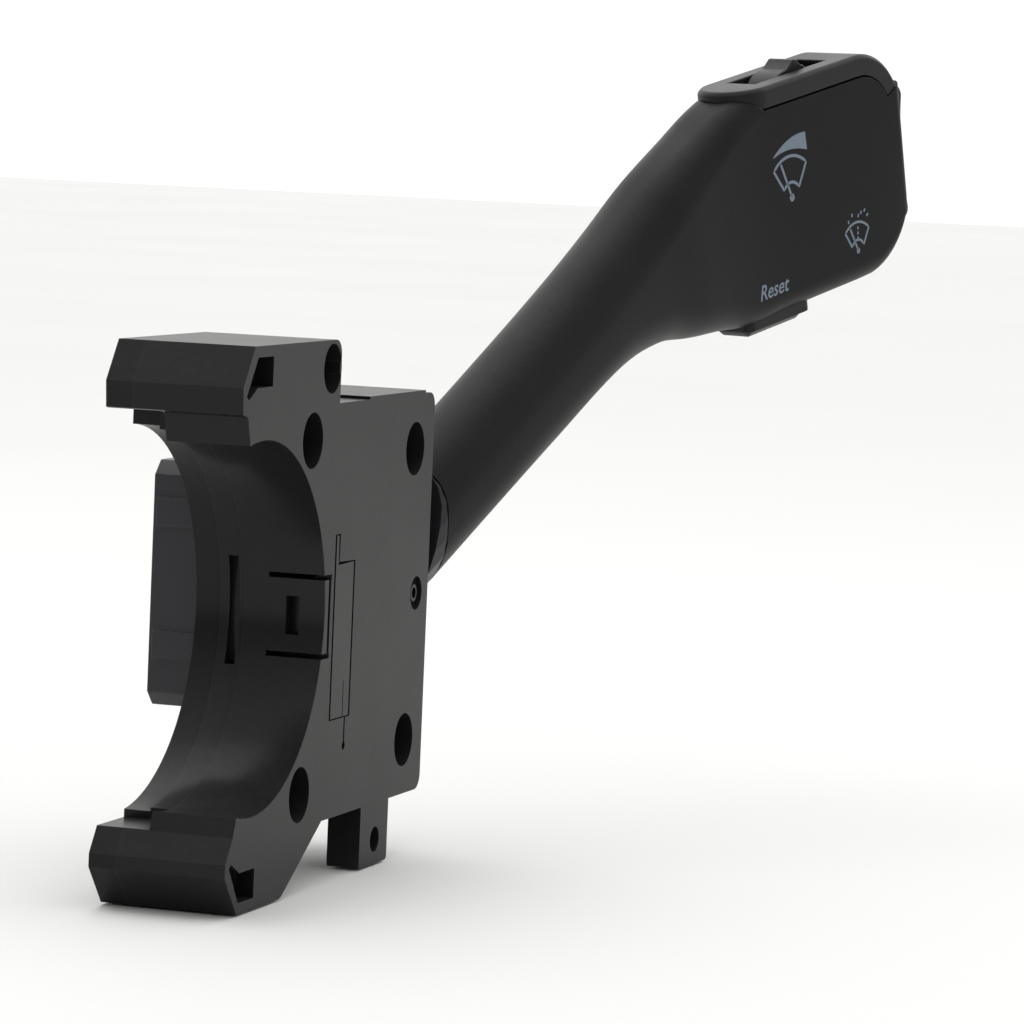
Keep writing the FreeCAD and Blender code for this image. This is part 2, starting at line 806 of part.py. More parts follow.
def in_paddle(shape):
    """Carry a shape from the drawing axes (u = X, w = -Y, v = Z) to the paddle."""
    along = lever_axis(lever_end)
    back = lever_out(lever_end) * -1
    up = lever_up(lever_end)
    base = lever_point(bend_end)
    matrix = FreeCAD.Matrix(along.x, back.x, up.x, base.x,
                            along.y, back.y, up.y, base.y,
                            along.z, back.z, up.z, base.z,
                            0, 0, 0, 1)
    moved = shape.copy()
    moved.Placement = FreeCAD.Placement(matrix).multiply(moved.Placement)
    return moved


def u_box(u, w, v):
    return box(u, (-w[1], -w[0]), v)


def cap_band(outer, inner, start, margin):
    """The strip along the top of the paddle and round its corner, seen from the driver."""
    cu = paddle_end - cap_corner
    cv = paddle_half_height - cap_corner
    outer_r = cap_corner + outer - paddle_half_height
    inner_r = cap_corner + inner - paddle_half_height
    top = math.pi / 2
    last = math.radians(cap_last)
    middle = (top + last) / 2

    def on(radius, angle):
        return V(cu + radius * math.cos(angle), -margin, cv + radius * math.sin(angle))

    a = V(start, -margin, outer)
    b = V(start, -margin, inner)
    edges = [Part.makeLine(a, on(outer_r, top)),
             Part.Arc(on(outer_r, top), on(outer_r, middle), on(outer_r, last)).toShape(),
             Part.makeLine(on(outer_r, last), on(inner_r, last)),
             Part.Arc(on(inner_r, last), on(inner_r, middle), on(inner_r, top)).toShape(),
             Part.makeLine(on(inner_r, top), b),
             Part.makeLine(b, a)]
    return Part.Face(Part.Wire(edges)).extrude(V(0, 2 * margin, 0))


def cap_plan(half_width, nose_r, nose_u):
    """An outline seen from above: straight sides and a round left end."""
    body = u_box((nose_u, paddle_end + 20), (-half_width, half_width), (-60, 60))
    return body.fuse(rod(nose_r, V(nose_u, 0, -60), V(nose_u, 0, 60)))


def well_box(inset, half_width, v_from, v_to):
    return u_box((well_start + inset, well_end - inset), (-half_width, half_width), (v_from, v_to))


def lever_cap():
    """The cap with its chamfered rim, its well for the slider and the slot for the slider's stem."""
    nose_u = cap_start + cap_half_width
    band = cap_band(paddle_half_height, groove + seam, cap_start - 1, 20)
    cap = band.common(cap_plan(cap_half_width, cap_half_width, nose_u)).removeSplitter()
    cu = paddle_end - cap_corner
    cv = paddle_half_height - cap_corner
    rim = []
    for edge in cap.Edges:
        middle = edge.valueAt((edge.FirstParameter + edge.LastParameter) / 2)
        at_side = abs(abs(middle.y) - cap_half_width) < 0.01
        on_top = abs(middle.z - paddle_half_height) < 0.01 and middle.x < cu
        on_corner = middle.x > cu and abs(math.hypot(middle.x - cu, middle.z - cv) - cap_corner) < 0.01
        if (on_top and (at_side or middle.x < nose_u)) or (on_corner and at_side):
            rim.append(edge)
    cap = cap.makeChamfer(cap_chamfer, rim)
    cap = cap.cut(well_box(0, well_half_width, paddle_half_height - well_depth, paddle_half_height + 1))
    return cap.cut(well_box(5.0, 1.2, 0, paddle_half_height)).cut(rocker_opening())


def interval_slider():
    """An arched pad with a finger ridge, and the stem that reaches down beside the board."""
    start = slider_middle - slider_length / 2
    end = slider_middle + slider_length / 2
    floor = paddle_half_height - well_depth + 0.1
    half = well_half_width - 0.2
    ridge = slider_middle + 2.0
    crown = paddle_half_height + 0.6
    peak = crown + 1.5

    def at(u, v):
        return V(u, -half, v)

    edges = [
        Part.makeLine(at(start, floor), at(start, floor + 0.6)),
        Part.Arc(at(start, floor + 0.6), at(start + 3.0, crown - 0.7), at(ridge - 2.6, crown)).toShape(),
        Part.makeLine(at(ridge - 2.6, crown), at(ridge - 0.7, peak - 0.3)),
        Part.Arc(at(ridge - 0.7, peak - 0.3), at(ridge, peak), at(ridge + 0.7, peak - 0.3)).toShape(),
        Part.makeLine(at(ridge + 0.7, peak - 0.3), at(ridge + 2.2, crown)),
        Part.Arc(at(ridge + 2.2, crown), at(end - 1.0, crown - 0.9), at(end, floor + 0.6)).toShape(),
        Part.makeLine(at(end, floor + 0.6), at(end, floor)),
        Part.makeLine(at(end, floor), at(start, floor))]
    pad = Part.Face(Part.Wire(edges)).extrude(V(0, 2 * half, 0))
    stem = u_box((slider_middle - 1.5, slider_middle + 1.5), (-0.9, 0.9), (stem_foot, floor + 0.5))
    return pad.fuse(stem).removeSplitter()


def slider_wiper():
    """The spring leaf from the stem to the board's tracks."""
    return u_box((slider_middle - 1.1, slider_middle + 1.1), (gap - board_face, -0.9),
                 (stem_foot + 0.4, stem_foot + 1.6))


# Shell of the lever, with the openings for what sits in the paddle

def cap_bed():
    """Everything above the groove, from the cap's round end to the rocker."""
    nose_r = cap_half_width + seam
    above = cap_band(paddle_half_height + 30, groove, cap_start - 1, 30)
    return above.common(cap_plan(30, nose_r, cap_start + cap_half_width))


def rocker_opening():
    """The room round the rocker, open at the paddle's end."""
    half = rocker_half_width + gap
    return u_box((paddle_end - rocker_back - rocker_back_room, paddle_end + 5), (-half, half),
                 (rocker_foot - rocker_room, rocker_top + rocker_room))


def lower_corner():
    """What the paddle's round lower corner leaves free."""
    cu = paddle_end - paddle_corner
    cv = paddle_corner - paddle_half_height
    square = u_box((cu, paddle_end + 5), (-30, 30), (-paddle_half_height - 5, cv))
    return square.cut(rod(paddle_corner, V(cu, -30, cv), V(cu, 30, cv)))


def round_upright_edges(solid, radius):
    """Round the edges that run up the paddle."""
    chosen = []
    for edge in solid.Edges:
        start = edge.Vertexes[0].Point
        end = edge.Vertexes[-1].Point
        if math.hypot(start.x - end.x, start.y - end.y) < 0.01 and edge.Length > 0.5:
            chosen.append(edge)
    return solid.makeFillet(radius, chosen)


def button_block(grow, v_from, v_to, radius):
    half = button_half_width + grow
    block = u_box((button_start - grow, button_end + grow), (-half, half), (v_from, v_to))
    return round_upright_edges(block, radius)


def collar_block(v_from, v_to):
    return button_block(gap + frame_width, v_from, v_to, 2.0)


def board_pegs():
    pegs = []
    for u, v in ((-4.0, 11.0), (29.0, 11.0), (-4.0, -8.0), (29.0, -8.0)):
        pegs.append(box((u - 1.2, u + 1.2), (lever_board_back, paddle_half_width - 1), (v - 1.2, v + 1.2)))
    return pegs


def rocker_pin():
    u = paddle_end - rocker_pin_inset
    v = (rocker_top + rocker_foot) / 2
    end = paddle_half_width - 0.9
    return rod(rocker_pin_r, V(u, -end, v), V(u, end, v))


def lever_shell():
    shell = lever_loft(skin_places, 0, skin_chords).cut(lever_loft(cavity_places, lever_wall, cavity_chords))
    shell = shell.common(beyond_seam(seam / 2)).cut(core_bar())
    seat = collar_block(-button_seat - 10, frame_depth - button_seat + 2.6)
    for piece in (cap_bed(), lower_corner(), rocker_opening(), seat, rocker_pin()):
        shell = shell.cut([in_paddle(piece)], cut_tolerance)
    for peg in board_pegs():
        shell = shell.fuse(in_paddle(peg))
    return shell.removeSplitter()


def end_rocker():
    """The rocker's side view: a high upper lobe, a waist and a lower lobe."""
    half = rocker_half_width

    def at(u, v):
        return V(paddle_end + u, -half, v)

    waist_v = (rocker_top + rocker_foot) / 2
    foot_corner = at(0.8, rocker_foot)
    foot_lobe = at(rocker_lobe - 0.8, rocker_foot + 2.4)
    waist = at(rocker_waist, waist_v)
    top_lobe = at(rocker_lobe, rocker_top - 2.6)
    top_corner = at(0.8, rocker_top)
    edges = [
        Part.makeLine(at(-rocker_back, rocker_foot), foot_corner),
        Part.Arc(foot_corner, at(2.0, rocker_foot + 0.6), foot_lobe).toShape(),
        Part.Arc(foot_lobe, at(rocker_waist + 0.25, rocker_foot + 8), waist).toShape(),
        Part.Arc(waist, at(rocker_waist + 0.5, rocker_top - 8), top_lobe).toShape(),
        Part.Arc(top_lobe, at(2.4, rocker_top - 0.7), top_corner).toShape(),
        Part.makeLine(top_corner, at(-rocker_back, rocker_top)),
        Part.makeLine(at(-rocker_back, rocker_top), at(-rocker_back, rocker_foot))]
    rocker = Part.Face(Part.Wire(edges)).extrude(V(0, 2 * half, 0))
    u = paddle_end - rocker_pin_inset
    return rocker.cut(rod(rocker_pin_r + pin_clear, V(u, -10, waist_v), V(u, 10, waist_v)))


def reset_collar():
    frame = collar_block(-button_seat - frame_proud, frame_depth - button_seat)
    return frame.cut(button_block(gap, -button_seat - 5, button_seat, 1.4))


def reset_button():
    """The button with its round lower rim, the flange that keeps it in and the post to the switch."""
    flange_v = frame_depth - button_seat + gap
    pad = button_block(0, -button_seat - button_proud, flange_v + 0.8, 1.2)
    rim = []
    for edge in pad.Edges:
        if edge.BoundBox.ZMax < 0.01 - button_seat - button_proud:
            rim.append(edge)
    pad = pad.makeChamfer(1.0, rim)
    half = button_half_width + 0.7
    flange = u_box((button_start - 0.7, button_end + 0.7), (-half, half), (flange_v, flange_v + 0.8))
    post = u_box((button_middle - 1.2, button_middle + 1.2), (-3.0, -0.6), (flange_v, button_post_v))
    return pad.fuse(flange).fuse(post).removeSplitter()


def lever_board():
    return u_box((lever_board_start, lever_board_end), (-lever_board_back, -board_face),
                 (lever_board_foot, lever_board_top))


def rocker_switches():
    """Two push switches at the board's end, one behind each half of the rocker."""
    knob_end = paddle_end - rocker_back - 1.0
    switches = []
    for v in (-8.0, 8.0):
        body = u_box((lever_board_end - 4, lever_board_end), (-board_face, switch_height - board_face),
                     (v - 2.5, v + 2.5))
        knob = u_box((lever_board_end, knob_end), (-2.9, -1.1), (v - 0.9, v + 0.9))
        switches.append(body.fuse(knob).removeSplitter())
    return switches


def reset_switch():
    """The push switch at the board's foot, above the button's post."""
    body = u_box((button_middle - 2.5, button_middle + 2.5), (-board_face, switch_height - board_face),
                 (lever_board_foot, lever_board_foot + 4))
    knob = u_box((button_middle - 0.9, button_middle + 0.9), (-2.7, -0.9),
                 (button_post_v + button_travel + gap, lever_board_foot))
    return body.fuse(knob).removeSplitter()


if __name__ == "__main__":
    save("front_housing", front_housing())
    save("rear_cover", rear_cover())
    save("insert_key", insert_key())
    save("cover_screws", *cover_screws())
    save("connector_shroud", connector_shroud())
    save("connector_pins", *connector_pins())
    save("circuit_board", circuit_board())
    save("contact_strips", *contact_strips())
    save("slide_guide", slide_guide())
    save("mode_slider", mode_slider())
    save("mode_contacts", *mode_contacts())
    save("swing_carrier", swing_carrier())
    save("pivot_pins", *pivot_pins())
    save("cross_pin", cross_pin())
    save("detent_cam", detent_cam())
    save("detent_plunger", detent_plunger())
    save("detent_spring", detent_spring())
    save("washer_plunger", washer_plunger())
    save("washer_contact", washer_contact())
    save("lever_core", lever_core())
    save("root_collar", root_collar())
    save("lever_shell", lever_shell())
    save("lever_cap", in_paddle(lever_cap()))
    save("interval_slider", in_paddle(interval_slider()))
    save("slider_wiper", in_paddle(slider_wiper()))
    save("end_rocker", in_paddle(end_rocker()))
    save("rocker_pin", in_paddle(rocker_pin()))
    save("reset_collar", in_paddle(reset_collar()))
    save("reset_button", in_paddle(reset_button()))
    save("lever_board", in_paddle(lever_board()))
    save("rocker_switches", *[in_paddle(switch) for switch in rocker_switches()])
    save("reset_switch", in_paddle(reset_switch()))
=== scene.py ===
import bpy
import bmesh
import math
from mathutils import Matrix, Vector
from mathutils.bvhtree import BVHTree


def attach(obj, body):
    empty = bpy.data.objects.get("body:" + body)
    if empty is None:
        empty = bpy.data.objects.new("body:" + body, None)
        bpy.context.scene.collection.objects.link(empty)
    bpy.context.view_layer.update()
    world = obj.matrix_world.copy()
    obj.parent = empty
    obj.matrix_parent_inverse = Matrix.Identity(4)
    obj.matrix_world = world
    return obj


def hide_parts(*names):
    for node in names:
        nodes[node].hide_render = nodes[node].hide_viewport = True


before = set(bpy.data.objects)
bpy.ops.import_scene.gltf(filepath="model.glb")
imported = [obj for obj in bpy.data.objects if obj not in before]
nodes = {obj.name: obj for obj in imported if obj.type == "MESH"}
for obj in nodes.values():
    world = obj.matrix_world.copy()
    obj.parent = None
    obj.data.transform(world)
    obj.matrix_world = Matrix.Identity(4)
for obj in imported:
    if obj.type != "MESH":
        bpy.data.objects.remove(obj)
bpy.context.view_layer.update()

mm = 0.001

# Camera: its place, the way it looks and its long lens
camera_at = Vector((-734.328, -284.158, 83.361)) * mm
camera_right = Vector((0.31679, -0.94753, 0.04278))
camera_up = Vector((0.06228, 0.06579, 0.99589))
sensor = 36.0
focal_in_widths = 5000.0 / 1024.0

# Floor and light
floor_z = -45.4 * mm
floor_half = 6.0
backdrop_colour = (1.0, 1.0, 0.99, 1.0)
wall_strength = 1.05
room_strength = 0.06
overhead_strength = 1.15
room_edge = -0.1
wall_edge = 0.85
lit_middle = Vector((0.08, 0.0, 0.02))
top_light_at = (0.25, 0.15, 0.75)
front_light_at = (0.35, -0.9, 0.35)

# Lever path from the pivot, in millimetres and degrees
pivot = Vector((74.6, 11.6, 0.0))
lever_lift = 1.5
neck_yaw = 13.0
neck_pitch = 30.4
paddle_yaw = 20.0
paddle_pitch = 13.1
bend_start = 93.0
bend_end = 147.5
paddle_end = 43.5
lever_end = bend_end + paddle_end
seam_x = 88.0
seam = 0.3

# Lever sections
neck_top = 9.5
neck_foot = 10.3
neck_half_width = 9.0
neck_corner = 8.6
paddle_half_height = 22.4
paddle_half_width = 7.5
paddle_edge = 4.5
paddle_corner = 14.0
end_round = 2.0
least_half_flat = 0.2


def bend_at(share):
    """The distance from the pivot at a share of the S-bend."""
    return bend_start + (bend_end - bend_start) * share


# Sections: distance from the pivot, top, foot, half width and corner radius
stations = [
    (0.0, neck_top, neck_foot, neck_half_width, neck_corner),
    (bend_at(-0.6), neck_top + 0.6, neck_foot + 0.4, neck_half_width, neck_corner),
    (bend_at(-0.1), neck_top + 1.3, neck_foot + 1.2, neck_half_width, neck_corner),
    (bend_at(0.2), neck_top + 2.3, neck_foot + 4.8, neck_half_width, neck_corner - 0.4),
    (bend_at(0.42), neck_top + 4.4, neck_foot + 9.0, neck_half_width, neck_corner - 1.0),
    (bend_at(0.64), paddle_half_height - 5.6, paddle_half_height - 0.7, paddle_half_width + 0.9,
     paddle_edge + 1.9),
    (bend_at(0.83), paddle_half_height - 2.0, paddle_half_height + 0.9, paddle_half_width + 0.3,
     paddle_edge + 0.7),
    (bend_end, paddle_half_height, paddle_half_height + 0.4, paddle_half_width, paddle_edge),
    (lever_end, paddle_half_height, paddle_half_height, paddle_half_width, paddle_edge)]

# Cap, rocker and button
cap_height = 4.5
cap_half_width = 7.4
cap_start = -9.0
cap_corner = 14.0
cap_last = 24.0
groove = paddle_half_height - cap_height
rocker_room_half_width = 5.3
rocker_room_top = 14.3
rocker_room_back = 6.7
seat_start = -11.0
seat_end = 9.7
seat_half_width = 5.4
seat_corner = 2.0
seat_top = -16.8

# Rings of the lever's skin, and how far the cutters run past it
first_ring = 2.0
ring_step = 2.5
neck_rings = 58
paddle_ring_step = 3.0
paddle_rings = 10
corner_rings = 12
end_rings = 5
beyond = 60.0
bed_reach = 40.0
room_reach = 5.0
seat_reach = 15.0
cutter_half_width = 20.0


# Lever shape

def lever_axis(s):
    """Direction of the lever's path at a distance from the pivot."""
    t = min(max((s - bend_start) / (bend_end - bend_start), 0.0), 1.0)
    blend = t * t * (3 - 2 * t)
    yaw = math.radians(neck_yaw + (paddle_yaw - neck_yaw) * blend)
    pitch = math.radians(neck_pitch + (paddle_pitch - neck_pitch) * blend)
    return Vector((math.cos(yaw) * math.cos(pitch), -math.sin(yaw) * math.cos(pitch), math.sin(pitch)))


def lever_out(s):
    along = lever_axis(s)
    return Vector((along.y, -along.x, 0)).normalized()


def lever_up(s):
    return lever_out(s).cross(lever_axis(s))


def lever_point(s):
    steps = 160
    point = pivot + Vector((0, 0, lever_lift))
    for step in range(steps):
        point = point + lever_axis(s * (step + 0.5) / steps) * (s / steps)
    return point


paddle_base = lever_point(bend_end)
paddle_along = lever_axis(lever_end)
paddle_out = lever_out(lever_end)
paddle_up = lever_up(lever_end)


def in_paddle(u, w, v):
    """A point of the paddle: u along it, w towards the driver, v up."""
    return paddle_base + paddle_along * u + paddle_out * w + paddle_up * v


def lever_sizes(s):
    """Top, foot, half width and corner radius, on smooth curves through the stations."""
    index = max(step for step in range(len(stations) - 1) if stations[step][0] <= s)
    near = stations[index]
    far = stations[index + 1]
    before = stations[max(index - 1, 0)]
    after = stations[min(index + 2, len(stations) - 1)]
    span = far[0] - near[0]
    t = (s - near[0]) / span
    sizes = []
    for k in range(1, 5):
        slope_in = (far[k] - before[k]) / (far[0] - before[0]) * span
        slope_out = (after[k] - near[k]) / (after[0] - near[0]) * span
        rise = far[k] - near[k]
        sizes.append(near[k] + t * (slope_in + t * (3 * rise - 2 * slope_in - slope_out
                                                    + t * (slope_in + slope_out - 2 * rise))))
    return sizes


def paddle_sizes(s):
    """The same sizes with the paddle's round lower corner and rounded end."""
    top, foot, half_width, corner = lever_sizes(s)
    u = s - bend_end
    from_corner = u - (paddle_end - paddle_corner)
    if from_corner > 0:
        drop = paddle_corner - math.sqrt(max(paddle_corner ** 2 - from_corner ** 2, 0))
        foot = foot - drop
    from_end = u - (paddle_end - end_round)
    if from_end > 0:
        half_width = half_width - end_round + math.sqrt(max(end_round ** 2 - from_end ** 2, 0))
        top = top - end_round + math.sqrt(max(end_round ** 2 - from_end ** 2, 0))
    return top, foot, half_width, min(corner, half_width - least_half_flat)


def section_points(s):
    """A ring of points round the lever."""
    top, foot, half_width, corner = paddle_sizes(s)
    centre = lever_point(s)
    up = lever_up(s)
    out = lever_out(s)
    chords = 10
    ring = []
    for side, height, first in ((1, top, 0), (-1, top, 90), (-1, -foot, 180), (1, -foot, 270)):
        middle = centre + out * (side * (half_width - corner)) + up * (height - math.copysign(corner, height))
        for step in range(chords + 1):
            turn = math.radians(first + 90 * step / chords)
            ring.append(middle + out * (corner * math.cos(turn)) + up * (corner * math.sin(turn)))
    return ring


# Mesh making, with angles in degrees and the weld's reach in millimetres

crease = 32.0
skin_crease = 30.0
flat_angle = 0.3
weld_reach = 0.002


def new_object(name, mesh):
    piece = bpy.data.objects.new(name, mesh)
    bpy.context.scene.collection.objects.link(piece)
    return piece


def mesh_piece(name, points, faces):
    """An object from points in millimetres."""
    mesh = bpy.data.meshes.new(name)
    mesh.from_pydata([tuple(Vector(point) * mm) for point in points], [], faces)
    mesh.update()
    return new_object(name, mesh)


def rings_piece(name, rings):
    """A closed skin through rings of points, with flat ends."""
    count = len(rings[0])
    points = [point for ring in rings for point in ring]
    faces = []
    for row in range(len(rings) - 1):
        for k in range(count):
            after = (k + 1) % count
            near = row * count
            far = near + count
            faces.append((near + k, near + after, far + after, far + k))
    faces.append(tuple(reversed(range(count))))
    last = (len(rings) - 1) * count
    faces.append(tuple(range(last, last + count)))
    piece = mesh_piece(name, points, faces)
    outward(piece)
    return piece


def outward(piece):
    mesh = bmesh.new()
    mesh.from_mesh(piece.data)
    bmesh.ops.recalc_face_normals(mesh, faces=mesh.faces)
    mesh.to_mesh(piece.data)
    mesh.free()


def prism(name, outline, depth):
    """A prism: an outline of points, and a vector to its far end."""
    far = [Vector(point) + Vector(depth) for point in outline]
    return rings_piece(name, [[Vector(point) for point in outline], far])


def paddle_prism(name, outline_uv, half_width):
    """A prism across the paddle from an outline in u and v."""
    near = [in_paddle(u, -half_width, v) for u, v in outline_uv]
    far = [in_paddle(u, half_width, v) for u, v in outline_uv]
    return rings_piece(name, [near, far])


def upright_prism(name, outline_uw, v_from, v_to):
    """A prism up the paddle from an outline in u and w."""
    low = [in_paddle(u, w, v_from) for u, w in outline_uw]
    high = [in_paddle(u, w, v_to) for u, w in outline_uw]
    return rings_piece(name, [low, high])


def apply_modifiers(piece):
    depsgraph = bpy.context.evaluated_depsgraph_get()
    evaluated = piece.evaluated_get(depsgraph)
    mesh = bpy.data.meshes.new_from_object(evaluated)
    piece.modifiers.clear()
    piece.data = mesh


def cut_away(piece, *cutters):
    """Cut each cutter's room out of the piece."""
    for cutter in cutters:
        cut = piece.modifiers.new("cut", "BOOLEAN")
        cut.operation = "DIFFERENCE"
        cut.solver = "EXACT"
        cut.object = cutter
        apply_modifiers(piece)
        bpy.data.objects.remove(cutter)


def smooth(piece, angle=crease):
    for face in piece.data.polygons:
        face.use_smooth = True
    piece.data.set_sharp_from_angle(angle=math.radians(angle))


def soften(piece, width):
    """Round the sharp edges of a piece by a width in millimetres, with even shading on the flats."""
    weld = piece.modifiers.new("weld", "WELD")
    weld.merge_threshold = weld_reach * mm
    merge = piece.modifiers.new("flat faces", "DECIMATE")
    merge.decimate_type = "DISSOLVE"
    merge.angle_limit = math.radians(flat_angle)
    bevel = piece.modifiers.new("soft edges", "BEVEL")
    bevel.width = width * mm
    bevel.segments = 2
    bevel.limit_method = "ANGLE"
    bevel.angle_limit = math.radians(crease)
    bevel.use_clamp_overlap = False
    bevel.loop_slide = False
    shade = piece.modifiers.new("even shading", "WEIGHTED_NORMAL")
    shade.weight = 100
    for face in piece.data.polygons:
        face.use_smooth = True


def arc(centre, radius, first, last, count):
    points = []
    for step in range(count + 1):
        turn = math.radians(first + (last - first) * step / count)
        points.append((centre[0] + radius * math.cos(turn), centre[1] + radius * math.sin(turn)))
    return points


def round_outline(centre, radius, chords):
    return arc(centre, radius, 0, 360 - 360 / chords, chords - 1)


# Lever skin, with the bed of the cap and the openings

def lever_skin():
    end_start = lever_end - end_round
    places = [first_ring + ring_step * step for step in range(neck_rings)]
    places += [bend_end + paddle_ring_step * step for step in range(paddle_rings)]
    for step in range(1, corner_rings + 1):
        place = lever_end - paddle_corner * (1 - math.sin(math.pi / 2 * step / (corner_rings + 1)))
        if place < end_start:
            places.append(place)
    for step in range(end_rings + 1):
        places.append(lever_end - end_round * (1 - math.sin(math.pi / 2 * step / end_rings)))
    skin = rings_piece("lever_skin", [section_points(s) for s in sorted(set(places))])
    bed_r = cap_corner - cap_height
    bed_centre = (paddle_end - cap_corner, paddle_half_height - cap_corner)
    nose_u = cap_start + cap_half_width
    arc_points = arc(bed_centre, bed_r, 90, cap_last, 16)
    last = math.radians(cap_last)
    far = (bed_centre[0] + bed_reach * math.cos(last), bed_centre[1] + bed_reach * math.sin(last))
    bed = paddle_prism("bed", [(nose_u, groove)] + arc_points + [far, (nose_u, beyond)], cutter_half_width)
    nose = upright_prism("nose", round_outline((nose_u, 0), cap_half_width + seam, 48), groove, beyond)
    back = paddle_end - rocker_room_back
    front = paddle_end + room_reach
    room = [(back, -rocker_room_top), (front, -rocker_room_top), (front, rocker_room_top),
            (back, rocker_room_top)]
    opening = paddle_prism("opening", room, rocker_room_half_width)
    seat_outline = []
    for u, w, first in ((seat_end - seat_corner, seat_half_width - seat_corner, 0),
                        (seat_start + seat_corner, seat_half_width - seat_corner, 90),
                        (seat_start + seat_corner, seat_corner - seat_half_width, 180),
                        (seat_end - seat_corner, seat_corner - seat_half_width, 270)):
        seat_outline += arc((u, w), seat_corner, first, first + 90, 6)
    seat = upright_prism("seat", seat_outline, seat_top - seat_reach, seat_top)
    root = [(0, -beyond, -beyond), (0, beyond, -beyond), (0, beyond, beyond), (0, -beyond, beyond)]
    side = prism("side", root, (seam_x + seam / 2, 0, 0))
    cut_away(skin, bed, nose, opening, seat, side)
    smooth(skin, skin_crease)
    return skin


# Rims of the upper arm's hole, standing out a little from the arm's side

arm_hole = Vector((29.3, 0.0, 40.3))
arm_hole_r = 4.1
rim_outer_r = 4.8
rim_turn = 48
rim_chords = 14
housing_joint = 18.6
housing_rear = 23.2
rim_inset = 0.25
rim_half_seam = 0.05


def arm_hole_rim(name, y_from, y_to):
    outline = arc((arm_hole.x, arm_hole.z), rim_outer_r, -rim_turn, rim_turn, rim_chords)
    outline += arc((arm_hole.x, arm_hole.z), arm_hole_r, rim_turn, -rim_turn, rim_chords)
    return prism(name, [(x, y_from, z) for x, z in outline], (0, y_to - y_from, 0))


# Printed marks: thin patches laid on the skin of the paddle

mark_rise = 0.02
mark_grid = 0.5
lay_from = 20.0
wiper_line = 0.6
wiper_root_r = 0.8
wash_line = 0.5
wash_root_r = 0.6
drop_line = 0.45
drop_length = 0.6
drop_turn = 84
spray_length = 0.7
spray_bend = 20


def mark_strip(path, width, closed=False):
    """Points and faces of a strip of even width along a path in u and v."""
    points = []
    faces = []
    count = len(path)
    for k, (u, v) in enumerate(path):
        before = path[k - 1] if k > 0 or closed else path[k]
        after = path[(k + 1) % count] if k < count - 1 or closed else path[k]
        along = Vector((after[0] - before[0], after[1] - before[1])).normalized()
        across = Vector((-along.y, along.x)) * (width / 2)
        points += [(u + across.x, v + across.y), (u - across.x, v - across.y)]
    spans = count if closed else count - 1
    for k in range(spans):
        a = 2 * k
        b = 2 * ((k + 1) % count)
        faces.append((a, a + 1, b + 1, b))
    return points, faces


def mark_patch(outline):
    return list(outline), [tuple(range(len(outline)))]


def polar(root, reach, angle):
    turn = math.radians(angle)
    return root[0] + reach * math.cos(turn), root[1] + reach * math.sin(turn)


def bow(start, end, rise, count):
    """Points of a bowed line from start to end, its middle lifted by the rise."""
    points = []
    for step in range(count + 1):
        t = step / count
        lift = 4 * rise * t * (1 - t)
        points.append((start[0] + (end[0] - start[0]) * t, start[1] + (end[1] - start[1]) * t + lift))
    return points


def flat_mark(name, patches):
    """A flat mesh in u and v from patches."""
    points = []
    faces = []
    for patch_points, patch_faces in patches:
        first = len(points)
        points += [(u, v, 0) for u, v in patch_points]
        faces += [tuple(first + k for k in face) for face in patch_faces]
    mesh = bpy.data.meshes.new(name)
    mesh.from_pydata(points, [], faces)
    return mesh


def lay_on_skin(name, mesh, skin):
    """Split a flat mesh to a fine grid and lay it on the face of the paddle."""
    grid = bmesh.new()
    grid.from_mesh(mesh)
    for axis in (0, 1):
        places = [vertex.co[axis] for vertex in grid.verts]
        lines = int((max(places) - min(places)) / mark_grid)
        for line in range(1, lines + 1):
            point = [0, 0, 0]
            normal = [0, 0, 0]
            point[axis] = min(places) + line * mark_grid
            normal[axis] = 1
            everything = grid.verts[:] + grid.edges[:] + grid.faces[:]
            bmesh.ops.bisect_plane(grid, geom=everything, plane_co=point, plane_no=normal, dist=1e-5)
    surface = BVHTree.FromObject(skin, bpy.context.evaluated_depsgraph_get())
    for vertex in grid.verts:
        start = in_paddle(vertex.co.x, lay_from, vertex.co.y) * mm
        hit, normal, face, distance = surface.ray_cast(start, -paddle_out)
        vertex.co = hit + normal * (mark_rise * mm)
    bmesh.ops.recalc_face_normals(grid, faces=grid.faces)
    if sum((face.normal.dot(paddle_out) for face in grid.faces)) < 0:
        bmesh.ops.reverse_faces(grid, faces=grid.faces)
    grid.to_mesh(mesh)
    grid.free()
    return new_object(name, mesh)


def wiped_field(root, outer, inner, width):
    """The outline of a wiped field from its outer and inner arcs: radius, first and last angle."""
    outline = arc(root, *outer, 16) + arc(root, *inner, 10)
    return mark_strip(outline, width, True)


def wiper_marks():
    """The swelling wedge over a wiped field with its arm."""
    root = (3.5, -0.4)
    wedge = bow((-1.7, 8.45), (9.55, 11.36), 1.05, 14) + bow((9.7, 7.75), (-1.5, 8.3), 0.9, 14)
    return [mark_patch(wedge),
            wiped_field(root, (8.1, 47, 131), (3.0, 142, 32), wiper_line),
            mark_strip([(0.7, 6.63), root], wiper_line),
            mark_patch(round_outline(root, wiper_root_r, 16))]


